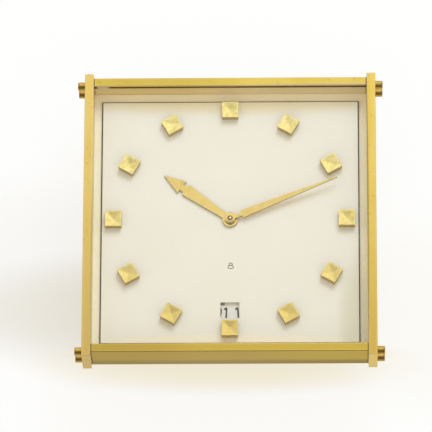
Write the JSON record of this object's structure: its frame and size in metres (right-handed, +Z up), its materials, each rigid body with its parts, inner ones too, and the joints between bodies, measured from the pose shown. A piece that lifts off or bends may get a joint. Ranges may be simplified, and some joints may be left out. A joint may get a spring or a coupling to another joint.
{
  "type": "desk clock",
  "caption": "Square brass desk clock with slab sides, screwed corners, glazed cream dial with faceted block markers, hands and a date window, and a key-wound spring movement behind.",
  "frame": {"origin": "middle of the clock's box, on the floor that the side plates stand on", "axes": "+Z up, the dial looks towards -Y, +X to the right as seen from the front"},
  "size_m": [0.1734, 0.0506, 0.1698],
  "materials": {
    "case_brass": "satin, brushed along its length",
    "glass": "clear polished",
    "seal_rubber": "matt",
    "dial_enamel": "silky matt",
    "mount_brass": "satin",
    "marker_brass": "polished facets",
    "hand_brass": "satin",
    "date_enamel": "matt",
    "movement_brass": "grained",
    "movement_steel": "ground",
    "back_brass": "satin",
    "key_brass": "polished"
  },
  "bodies": {
    "case": {"left_side_plate": "case_brass", "right_side_plate": "case_brass", "top_plate": "case_brass", "bottom_plate": "case_brass", "corner_screws": "case_brass", "front_glass": "glass", "glass_channel": "seal_rubber", "dial_plate": "dial_enamel", "dial_seal": "seal_rubber", "dial_mount": "mount_brass", "hour_marker_01": "marker_brass", "hour_marker_02": "marker_brass", "hour_marker_03": "marker_brass", "hour_marker_04": "marker_brass", "hour_marker_05": "marker_brass", "hour_marker_06": "marker_brass", "hour_marker_07": "marker_brass", "hour_marker_08": "marker_brass", "hour_marker_09": "marker_brass", "hour_marker_10": "marker_brass", "hour_marker_11": "marker_brass", "hour_marker_12": "marker_brass", "motion_studs": "movement_steel", "movement_spacer": "movement_brass", "movement_front_plate": "movement_brass", "movement_rear_plate": "movement_brass", "movement_pillars": "movement_brass", "pillar_screws": "movement_steel", "movement_screws": "movement_steel", "click_pin": "movement_steel", "click_spring": "movement_steel", "escapement_can": "movement_brass", "balance_cock": "movement_brass", "mounting_blocks": "mount_brass", "block_screws": "movement_steel", "back_panel": "back_brass", "movement_cover": "back_brass", "cover_screws": "movement_steel"},
    "minute_works": {"centre_arbor": "movement_steel", "cannon_pinion": "movement_steel", "minute_hand": "hand_brass", "hand_nut": "hand_brass", "centre_wheel": "movement_brass", "setting_knob": "key_brass"},
    "hour_works": {"hour_wheel": "movement_brass", "hour_hand": "hand_brass"},
    "minute_wheel": {"minute_wheel": "movement_brass"},
    "date_wheel": {"date_wheel": "movement_brass"},
    "date_disc": {"date_disc": "date_enamel"},
    "barrel": {"barrel_drum": "movement_brass", "barrel_cap": "movement_brass", "mainspring": "movement_steel"},
    "winding": {"winding_arbor": "movement_steel", "ratchet_wheel": "movement_steel", "winding_key": "key_brass"},
    "click": {"click": "movement_steel"},
    "intermediate": {"intermediate_wheel": "movement_brass"},
    "third": {"third_wheel": "movement_brass"},
    "balance": {"balance_wheel": "movement_brass", "hairspring": "movement_steel"}
  },
  "joints": [
    {"name": "minute_spin", "type": "hinge", "parent": "case", "child": "minute_works", "pos_m": [0, 0, 0.0849], "axis": [0, 1, 0], "continuous": true},
    {"name": "hour_spin", "type": "hinge", "parent": "case", "child": "hour_works", "pos_m": [0, 0, 0.0849], "axis": [0, 1, 0], "continuous": true},
    {"name": "minute_wheel_spin", "type": "hinge", "parent": "case", "child": "minute_wheel", "pos_m": [0.0144, 0, 0.0849], "axis": [0, 1, 0], "continuous": true},
    {"name": "date_wheel_spin", "type": "hinge", "parent": "case", "child": "date_wheel", "pos_m": [-0.01449, 0, 0.08878], "axis": [0, 1, 0], "continuous": true},
    {"name": "intermediate_spin", "type": "hinge", "parent": "case", "child": "intermediate", "pos_m": [-0.01216, 0, 0.0745], "axis": [0, 1, 0], "continuous": true},
    {"name": "barrel_spin", "type": "hinge", "parent": "case", "child": "barrel", "pos_m": [0, 0, 0.0629], "axis": [0, 1, 0], "continuous": true},
    {"name": "third_wheel_spin", "type": "hinge", "parent": "case", "child": "third", "pos_m": [0.00788, 0, 0.09854], "axis": [0, 1, 0], "continuous": true},
    {"name": "date_disc_spin", "type": "hinge", "parent": "case", "child": "date_disc", "pos_m": [0, 0, 0.0849], "axis": [0, 1, 0], "continuous": true},
    {"name": "winding_spin", "type": "hinge", "parent": "case", "child": "winding", "pos_m": [0, 0, 0.0629], "axis": [0, 1, 0], "continuous": true},
    {"name": "click_swing", "type": "hinge", "parent": "case", "child": "click", "pos_m": [0.00942, 0, 0.0695], "axis": [0, 1, 0], "range_deg": [0, 12], "stiffness_Nm_per_rad": 0.0001},
    {"name": "balance_swing", "type": "hinge", "parent": "case", "child": "balance", "pos_m": [-0.0125, 0, 0.104], "axis": [0, 1, 0], "range_deg": [-140, 140], "stiffness_Nm_per_rad": 0.00001}
  ],
  "couplings": [
    {"joint": "hour_spin", "follows": "minute_spin", "ratio": 0.083333},
    {"joint": "minute_wheel_spin", "follows": "minute_spin", "ratio": -0.33333},
    {"joint": "date_wheel_spin", "follows": "minute_spin", "ratio": -0.041667},
    {"joint": "intermediate_spin", "follows": "minute_spin", "ratio": -0.25},
    {"joint": "barrel_spin", "follows": "minute_spin", "ratio": 0.041667},
    {"joint": "third_wheel_spin", "follows": "minute_spin", "ratio": -8}
  ]
}
